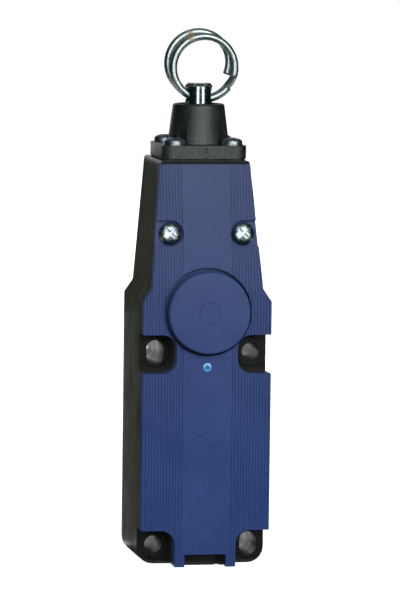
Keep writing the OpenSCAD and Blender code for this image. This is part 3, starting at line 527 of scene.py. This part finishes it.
nodeLooks = {
    "housing": "housing", "cover": "cover", "reset_button": "button", "head": "head",
    "cover_gasket": "seal", "head_gasket": "seal", "reset_seal": "seal", "wiper_seal": "seal",
    "cover_screws": "screw", "head_screws": "headScrew", "guide_screws": "screw", "block_screws": "screw",
    "terminal_screws": "screw", "terminal_clamps": "screw",
    "plunger": "steel", "spring_plate": "plate", "latch_plate": "plate", "split_ring": "zinc",
    "plunger_clip": "spring", "reset_clip": "spring", "pull_spring": "spring", "reset_spring": "spring",
    "latch_spring": "spring", "contact_springs": "spring",
    "guide_bush": "bronze", "fixed_contacts": "brass", "contact_bridges": "silver",
    "contact_block": "acetal", "latch_guide": "acetal", "contact_carriage": "carriage",
    "indicator_light": "lens",
}
for name, node in nodes.items():
    for slot in node.material_slots:
        slot.material = looks[nodeLooks[name]]


def bodyOf(name):
    return nodes[name].parent.name.split(":")[1]


def addPiece(name, mesh, look, body, node):  # a piece that stands in for a CAD node
    piece = newObject(name, mesh)
    mesh.materials.clear()
    mesh.materials.append(looks[look])
    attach(piece, body)
    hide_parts(node)
    return piece


# radius of each piece's edges, in mm: moulded plastics are rounder than turned steel
edgeSettings = {
    "housing": 0.22, "cover": 0.08, "reset_button": 0.05, "head": 0.2, "plunger": 0.1,
    "cover_screws": 0.08, "indicator_light": 0.06,
}

# how a CAD mesh is cleaned before its edges are rounded
cleaning = {
    "merge": 0.004,  # mm: corners closer than this are one
    "flat": 0.5,  # degrees: faces that meet at less than this are one
    "sharp": 32.0,  # degrees: faces that meet at more than this have a sharp edge between them
    "corners": 12,  # a face with more is split into triangles
    "room": 0.4,  # share of the shortest edge beside a sharp one that its radius takes at most
    "segments": 2,  # of a rounded edge
}


def merged(name):
    bm = bmesh.new()
    bm.from_mesh(nodes[name].data)
    bmesh.ops.remove_doubles(bm, verts=bm.verts, dist=cleaning["merge"] * mm)
    return bm


def joinFlatFaces(bm):
    flat = math.radians(cleaning["flat"])
    bmesh.ops.dissolve_limit(bm, angle_limit=flat, verts=bm.verts, edges=bm.edges)


def isSharp(edge, angle):
    return edge.is_manifold and edge.calc_face_angle() > math.radians(angle)


def shadeByAngle(bm, angle):  # smooth faces, with a hard line along each edge sharper than this
    for face in bm.faces:
        face.smooth = True
    for edge in bm.edges:
        edge.smooth = not isSharp(edge, angle)


def cleaned(name):
    bm = merged(name)
    joinFlatFaces(bm)
    bmesh.ops.triangulate(bm, faces=[face for face in bm.faces if len(face.verts) > cleaning["corners"]])
    shadeByAngle(bm, cleaning["sharp"])
    return bm


def toMesh(bm, name):
    mesh = bpy.data.meshes.new(name)
    bm.to_mesh(mesh)
    bm.free()
    return mesh


# A sharp edge gets the full radius, or less where a short edge beside it leaves no room for it.
def softenedMesh(name, width):
    bm = cleaned(name)
    weight = bm.edges.layers.float.new("bevel_weight_edge")
    for edge in bm.edges:
        if not edge.smooth:
            beside = (near for vert in edge.verts for near in vert.link_edges if near is not edge)
            room = min(near.calc_length() for near in beside)
            edge[weight] = min(1.0, cleaning["room"] * room / (width * mm))
    return toMesh(bm, name + "Soft")


def softened(name, width):
    piece = addPiece(name + "Soft", softenedMesh(name, width), nodeLooks[name], bodyOf(name), name)
    bevel = piece.modifiers.new("edges", "BEVEL")
    bevel.width, bevel.segments = width * mm, cleaning["segments"]
    bevel.limit_method = "WEIGHT"
    bevel.use_clamp_overlap = False
    bevel.harden_normals = True


for name, width in edgeSettings.items():
    softened(name, width)
print("softened pieces: %d" % len(edgeSettings))


# A spring that a joint shortens gets a cleaned copy of its mesh in place of the CAD node; its axis and fixed
# end are worked out, but it is not shortened.
def squashedSpring(bent):
    name, letter = bent["node"], bent["mode"][-1]
    along = "xyz".index(letter)
    axis, fixedEnd = Vector(), Vector()
    axis[along], fixedEnd[along] = 1.0, bent["fixed_end_%s_m" % letter]
    mesh = toMesh(cleaned(name), name + "Soft")
    piece = addPiece(name + "Wound", mesh, nodeLooks[name], bodyOf(name), name)
    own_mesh(piece)


joints = frame["record"]["behaviour"]["joints"]
shortened = [(joint, bent) for joint in joints for bent in joint.get("deforming_nodes", [])]
for joint, bent in shortened:
    squashedSpring(bent)
print("springs that shorten: %d" % len(shortened))


def newTree(name, inputs):  # inputs: label -> (socket kind, value)
    tree = bpy.data.node_groups.new(name, "GeometryNodeTree")
    tree.is_modifier = True
    for label, (kind, value) in inputs.items():
        socket = tree.interface.new_socket(label, in_out="INPUT", socket_type=kind)
        if value is not None:
            socket.default_value = value
    tree.interface.new_socket("Geometry", in_out="OUTPUT", socket_type="NodeSocketGeometry")
    return tree, tree.nodes.new("NodeGroupInput").outputs


def finishTree(tree, geometry, material):
    whole = addNode(tree, "GeometryNodeRealizeInstances", links={0: geometry})
    painted = addNode(tree, "GeometryNodeSetMaterial", {"Material": looks[material]}, {0: whole.outputs[0]})
    addNode(tree, "NodeGroupOutput", links={0: painted.outputs[0]})


def grown(name, tree, values):  # runs the tree on an empty object and returns its mesh
    seed = newObject(name, bpy.data.meshes.new(name + "Seed"))
    modifier = seed.modifiers.new("grow", "NODES")
    modifier.node_group = tree
    for socket in tree.interface.items_tree:
        if socket.in_out == "INPUT" and socket.name in values:
            modifier[socket.identifier] = values[socket.name]
    result = seed.evaluated_get(bpy.context.evaluated_depsgraph_get())
    mesh = bpy.data.meshes.new_from_object(result)
    seed.modifiers.remove(modifier)
    bpy.data.objects.remove(seed)
    mesh.name = name
    return mesh


# The ring is one wire that goes round twice: the rear turn, a jog, then the front turn.
# The rear turn has sprung a little up and to the left, so both turns show.
ringShape = {
    "Radius": 9.7, "Wire": 2.35, "Pitch": 2.44, "Spread": 1.35, "Tuck": 0.2,  # mm
    "Start": -22.0, "End": 682.0, "Tuck end": 23.0, "Jog start": 322.0, "Jog end": 348.0,  # degrees
    "Bottom": 270.0,  # degrees: the rear turn is sprung up to here
    "Spread by": -1 / 3,  # height, in radii from the centre, above which it is sprung in full
    "Steps": 360, "Sides": 24,
    "tip": {"radius": 0.35, "segments": 3},  # mm; rounding of the cut ends, which the tree leaves square
}


def splitRingTree(s):
    kinds = {float: "NodeSocketFloat", int: "NodeSocketInt"}
    inputs = {label: (kinds[type(value)], value) for label, value in s.items() if label != "tip"}
    inputs["Centre"] = ("NodeSocketVector", (0, 0, 0))
    tree, given = newTree("splitRingPath", inputs)

    # how far along the wire each point is, as an angle round the ring
    line = addNode(tree, "GeometryNodeMeshLine", links={"Count": given["Steps"]}).outputs[0]
    index = addNode(tree, "GeometryNodeInputIndex").outputs[0]
    last = addNode(tree, "ShaderNodeMath", {"operation": "SUBTRACT", 1: 1.0}, {0: given["Steps"]}).outputs[0]
    turn = addNode(tree, "ShaderNodeMapRange", links={
        "Value": index, "From Max": last, "To Min": given["Start"], "To Max": given["End"]}).outputs[0]
    angle = addNode(tree, "ShaderNodeMath", {"operation": "RADIANS"}, {0: turn}).outputs[0]
    sine = addNode(tree, "ShaderNodeMath", {"operation": "SINE"}, {0: angle}).outputs[0]
    cosine = addNode(tree, "ShaderNodeMath", {"operation": "COSINE"}, {0: angle}).outputs[0]

    # the jog from the rear turn to the front one, and the rear tip tucked in
    smooth = {"interpolation_type": "SMOOTHSTEP"}
    jog = addNode(tree, "ShaderNodeMapRange", smooth, {
        "Value": turn, "From Min": given["Jog start"], "From Max": given["Jog end"]}).outputs[0]
    behind = addNode(tree, "ShaderNodeMath", {"operation": "SUBTRACT", 0: 0.5}, {1: jog}).outputs[0]
    y = addNode(tree, "ShaderNodeMath", {"operation": "MULTIPLY"}, {0: given["Pitch"], 1: behind}).outputs[0]
    tip = addNode(tree, "ShaderNodeMath", {"operation": "SUBTRACT"},
                  {0: given["Radius"], 1: given["Tuck"]}).outputs[0]
    radius = addNode(tree, "ShaderNodeMapRange", smooth, {
        "Value": turn, "From Min": given["Start"], "From Max": given["Tuck end"],
        "To Min": tip, "To Max": given["Radius"]}).outputs[0]

    # the rear turn's spring, up and to the left
    rise = addNode(tree, "ShaderNodeMapRange", {"interpolation_type": "SMOOTHSTEP", "From Min": -1.0},
                   {"Value": sine, "From Max": given["Spread by"]}).outputs[0]
    rear = addNode(tree, "ShaderNodeMath", {"operation": "LESS_THAN"},
                   {0: turn, 1: given["Bottom"]}).outputs[0]
    sprung = addNode(tree, "ShaderNodeMath", {"operation": "MULTIPLY"},
                     {0: given["Spread"], 1: rise}).outputs[0]
    spread = addNode(tree, "ShaderNodeMath", {"operation": "MULTIPLY"}, {0: sprung, 1: rear}).outputs[0]

    # each point's place, and the wire swept along them
    across = addNode(tree, "ShaderNodeMath", {"operation": "MULTIPLY"}, {0: radius, 1: cosine}).outputs[0]
    up = addNode(tree, "ShaderNodeMath", {"operation": "MULTIPLY"}, {0: radius, 1: sine}).outputs[0]
    x = addNode(tree, "ShaderNodeMath", {"operation": "SUBTRACT"}, {0: across, 1: spread}).outputs[0]
    z = addNode(tree, "ShaderNodeMath", {"operation": "ADD"}, {0: up, 1: spread}).outputs[0]
    spot = addNode(tree, "ShaderNodeCombineXYZ", links={"X": x, "Y": y, "Z": z}).outputs[0]
    metres = addNode(tree, "ShaderNodeVectorMath", {"operation": "SCALE", "Scale": mm}, {0: spot}).outputs[0]
    place = addNode(tree, "ShaderNodeVectorMath", {"operation": "ADD"},
                    {0: metres, 1: given["Centre"]}).outputs[0]
    path = addNode(tree, "GeometryNodeSetPosition", links={0: line, "Position": place}).outputs[0]
    curve = addNode(tree, "GeometryNodeMeshToCurve", links={0: path}).outputs[0]
    half = addNode(tree, "ShaderNodeMath", {"operation": "MULTIPLY", 1: mm / 2}, {0: given["Wire"]})
    profile = addNode(tree, "GeometryNodeCurvePrimitiveCircle", links={
        "Resolution": given["Sides"], "Radius": half.outputs[0]}).outputs[0]
    wire = addNode(tree, "GeometryNodeCurveToMesh", {"Fill Caps": True}, {0: curve, 1: profile}).outputs[0]
    finishTree(tree, wire, "zinc")
    return tree


def splitRing(s):
    low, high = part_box("split_ring")
    reach = (s["Radius"] + s["Wire"] / 2) * mm
    centre = (high.x - reach, (low.y + high.y) / 2, low.z + reach)
    mesh = grown("splitRingWire", splitRingTree(s), dict(s, Centre=centre))
    bm = bmesh.new()
    bm.from_mesh(mesh)
    bmesh.ops.recalc_face_normals(bm, faces=bm.faces)
    for face in bm.faces:
        face.smooth = len(face.verts) == 4
    rims = [edge for face in bm.faces if len(face.verts) > 4 for edge in face.edges]
    bmesh.ops.bevel(bm, geom=rims, offset=s["tip"]["radius"] * mm, segments=s["tip"]["segments"],
                    affect="EDGES", profile=0.5)
    bm.to_mesh(mesh)
    bm.free()
    addPiece("splitRingWire", mesh, "zinc", "ring", "split_ring")


splitRing(ringShape)


# The head's four screws are one pressed screw, set down at the corners and turned as they
# happened to be tightened.
headScrews = {
    "seed": 3,
    "edge": 0.1,  # mm; radius of the edges on top
    "domeFrom": 0.8,  # share of the screw's height above which its edges are rounded
    "hardEdge": 40.0,  # degrees
}


def onePart(name, nearest, s):  # the solid of a CAD node that lies nearest to a point, moved to the origin
    bm = merged(name)
    start = min(bm.verts, key=lambda v: (v.co - nearest).length)
    found, edgeOn = {start}, [start]
    while edgeOn:
        for edge in edgeOn.pop().link_edges:
            for vert in edge.verts:
                if vert not in found:
                    found.add(vert)
                    edgeOn.append(vert)
    bmesh.ops.delete(bm, geom=[v for v in bm.verts if v not in found], context="VERTS")
    lows = Vector([min(v.co[i] for v in bm.verts) for i in range(3)])
    highs = Vector([max(v.co[i] for v in bm.verts) for i in range(3)])
    middle = Vector(((lows.x + highs.x) / 2, (lows.y + highs.y) / 2, lows.z))
    bmesh.ops.translate(bm, verts=bm.verts, vec=-middle)
    joinFlatFaces(bm)
    domeFrom = (highs.z - lows.z) * s["domeFrom"]
    rounded = [edge for edge in bm.edges
               if isSharp(edge, cleaning["sharp"]) and min(v.co.z for v in edge.verts) > domeFrom]
    bmesh.ops.bevel(bm, geom=rounded, offset=s["edge"] * mm, segments=cleaning["segments"],
                    affect="EDGES", clamp_overlap=True)
    shadeByAngle(bm, s["hardEdge"])
    return toMesh(bm, name + "One"), middle


def cornerScrews(s):
    low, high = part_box("head_screws")
    mesh, first = onePart("head_screws", Vector((low.x, low.y, high.z)), s)
    source = newObject("screwSource", mesh)
    centre = (low + high) / 2
    tree, given = newTree("cornerScrews", {
        "Span X": ("NodeSocketFloat", 0.0), "Span Y": ("NodeSocketFloat", 0.0),
        "Centre": ("NodeSocketVector", (0, 0, 0)),
        "Screw": ("NodeSocketObject", None), "Seed": ("NodeSocketInt", 0)})
    grid = addNode(tree, "GeometryNodeMeshGrid", {"Vertices X": 2, "Vertices Y": 2},
                   {"Size X": given["Span X"], "Size Y": given["Span Y"]}).outputs[0]
    corners = addNode(tree, "GeometryNodeSetPosition", links={0: grid, "Offset": given["Centre"]}).outputs[0]
    screw = addNode(tree, "GeometryNodeObjectInfo", links={0: given["Screw"]}).outputs["Geometry"]
    quarter = {"data_type": "FLOAT_VECTOR", 0: (0, 0, 0), 1: (0, 0, math.pi / 2)}
    turned = addNode(tree, "FunctionNodeRandomValue", quarter, {"Seed": given["Seed"]}).outputs[0]
    placed = addNode(tree, "GeometryNodeInstanceOnPoints", links={
        "Points": corners, "Instance": screw, "Rotation": turned}).outputs[0]
    finishTree(tree, placed, "headScrew")
    grownMesh = grown("headScrewSet", tree, {
        "Span X": 2 * abs(first.x - centre.x), "Span Y": 2 * abs(first.y - centre.y),
        "Centre": (centre.x, centre.y, first.z), "Screw": source, "Seed": s["seed"]})
    bpy.data.objects.remove(source)
    addPiece("headScrewSet", grownMesh, "headScrew", "base", "head_screws")


cornerScrews(headScrews)
print("grown pieces: split ring and head screws")


# floor and world: white paper to the camera, the gloss and the clear lens, and a low even light on the rest
stageSettings = {"floorSize": 16.0, "white": "#f4f4f4", "ownLight": 0.88, "worldLevel": 0.16}


def seenDirectly(tree):  # 1 for the camera, in a reflection and through the lens
    path = addNode(tree, "ShaderNodeLightPath").outputs
    mirrored = addNode(tree, "ShaderNodeMath", {"operation": "ADD"},
                       {0: path["Is Glossy Ray"], 1: path["Is Transmission Ray"]}).outputs[0]
    return addNode(tree, "ShaderNodeMath", {"operation": "ADD", "use_clamp": True},
                   {0: path["Is Camera Ray"], 1: mirrored}).outputs[0]


def makeFloor(s):
    mesh = bpy.data.meshes.new("floor")
    half, low = s["floorSize"] / 2, cadBox[0].z
    corners = [(-half, -half, low), (half, -half, low), (half, half, low), (-half, half, low)]
    mesh.from_pydata(corners, [], [(0, 1, 2, 3)])
    material = bpy.data.materials.new("paperSeamless")
    tree = emptyTree(material)
    own = addNode(tree, "ShaderNodeMath", {"operation": "MULTIPLY", 1: s["ownLight"]},
                  {0: seenDirectly(tree)})
    paper = addNode(tree, "ShaderNodeBsdfDiffuse", {"Color": linear(s["white"])})
    glow = addNode(tree, "ShaderNodeEmission", links={"Strength": own.outputs[0]})
    both = addNode(tree, "ShaderNodeAddShader", links={0: paper.outputs[0], 1: glow.outputs[0]})
    addNode(tree, "ShaderNodeOutputMaterial", links={"Surface": both.outputs[0]})
    mesh.materials.append(material)
    floor = newObject("floor", mesh)


def makeWorld(s):
    world = bpy.data.worlds.new("studio")
    bpy.context.scene.world = world
    tree = emptyTree(world)
    level = addNode(tree, "ShaderNodeMapRange", {"To Min": s["worldLevel"], "To Max": 1.0},
                    {"Value": seenDirectly(tree)})
    sky = addNode(tree, "ShaderNodeBackground", {"Color": (1, 1, 1, 1)}, {"Strength": level.outputs[0]})
    addNode(tree, "ShaderNodeOutputWorld", links={"Surface": sky.outputs[0]})


# dark cards that glow at a set colour and only the gloss sees, as painted reflections: the colour they glow,
# then four corners in metres, the last number over the floor
cardSettings = {
    "behindCamera": ("blackVelvet", (-2.2, -2.4, 0), (2.2, -2.4, 0), (2.2, -2.4, 2.4), (-2.2, -2.4, 2.4)),
    "left": ("blackVelvet", (-0.3, -0.5, 0), (-0.25, 0.6, 0), (-0.25, 0.6, 0.7), (-0.3, -0.5, 0.7)),
    "right": ("blackVelvet", (0.3, -0.4, 0), (0.25, 0.6, 0), (0.25, 0.6, 0.7), (0.3, -0.4, 0.7)),
    "roof": ("greyFelt", (-0.4, -0.45, 0.55), (0.4, -0.45, 0.55), (0.4, 0.8, 0.55), (-0.4, 0.8, 0.55)),
    "floorInFront": ("blackVelvet", (-1.2, -2.4, 0.001), (1.2, -2.4, 0.001),
                     (1.2, -0.05, 0.001), (-1.2, -0.05, 0.001)),
    "underFoot": ("greyCloth", (-0.07, -0.05, 0.001), (0.05, -0.05, 0.001),
                  (0.05, 0, 0.001), (-0.07, 0, 0.001)),
    "floorLeft": ("greyCloth", (-1.2, 0, 0.001), (-0.07, 0, 0.001), (-0.07, 0.4, 0.001), (-1.2, 0.4, 0.001)),
    "floorRight": ("blackVelvet", (0.05, 0, 0.001), (1.2, 0, 0.001), (1.2, 0.4, 0.001), (0.05, 0.4, 0.001)),
    "besideFoot": ("greyCloth", (-0.07, 0.01, 0), (-0.021, 0.01, 0),
                   (-0.021, 0.01, 0.075), (-0.07, 0.01, 0.075)),
    "besideNeck": ("greyCloth", (-0.07, 0.01, 0.075), (0, 0.01, 0.075),
                   (0, 0.01, 0.1252), (-0.07, 0.01, 0.1252)),
}
reflectionColours = {"blackVelvet": "#0e2325", "greyCloth": "#3a3c35", "greyFelt": "#566361"}


def makeCards(s, colours):
    reflectionMaterials = {}
    for name, colour in colours.items():
        reflectionMaterials[name] = bpy.data.materials.new(name)
        tree = emptyTree(reflectionMaterials[name])
        # each card glows at its colour: a painted reflection, not lit by the lamps
        glow = addNode(tree, "ShaderNodeEmission", {"Color": linear(colour)})
        addNode(tree, "ShaderNodeOutputMaterial", links={"Surface": glow.outputs[0]})
    for name, (reflectionName, *corners) in s.items():
        mesh = bpy.data.meshes.new("card_" + name)
        mesh.from_pydata([(x, y, cadBox[0].z + z) for x, y, z in corners], [], [(0, 1, 2, 3)])
        mesh.materials.append(reflectionMaterials[reflectionName])
        card = newObject("card_" + name, mesh)
        card.visible_camera = card.visible_diffuse = card.visible_shadow = card.visible_transmission = False


# lamps: azimuth and elevation in degrees, distance and size in metres, watts, and whether the
# lamp lights the matt surfaces or is only what the gloss shows
lampSettings = {
    "key": (5.0, 22.0, 1.7, (0.9, 0.8), 18.8, "matt"),
    "leftFill": (-100.0, 20.0, 1.7, (0.9, 0.8), 8.0, "matt"),
    "rightFill": (100.0, 20.0, 1.7, (0.9, 0.8), 8.0, "matt"),
    "backFill": (180.0, 25.0, 1.7, (0.9, 0.8), 8.0, "matt"),
    "screen": (6.5, 28.0, 2.0, (1.4, 1.4), 19.0, "gloss"),
    "rightStrip": (26.0, 3.0, 1.5, (0.38, 0.75), 4.8, "gloss"),
    "leftStrip": (-15.0, 3.0, 1.5, (0.4, 0.75), 5.0, "gloss"),
}
lampColour = (0.93, 1.0, 0.965)  # daylight tubes, a touch green


def makeLamps(s):
    aim = (cadBox[0] + cadBox[1]) / 2
    for name, (azimuth, elevation, distance, size, watts, use) in s.items():
        data = bpy.data.lights.new(name, "AREA")
        data.shape, data.energy, data.color = "RECTANGLE", watts, lampColour
        data.size, data.size_y = size
        place = aim + distance * bearing(azimuth, elevation)
        lamp = newObject(name, data)
        lamp.location = place
        lamp.rotation_mode = "QUATERNION"
        lamp.rotation_quaternion = (aim - place).to_track_quat("-Z", "Y")
        lamp.visible_glossy, lamp.visible_diffuse = use == "gloss", use == "matt"


makeFloor(stageSettings)
makeWorld(stageSettings)
makeCards(cardSettings, reflectionColours)
makeLamps(lampSettings)
bpy.context.scene.view_settings.view_transform = "Standard"
print("stage: floor and %d lamps" % len(lampSettings))
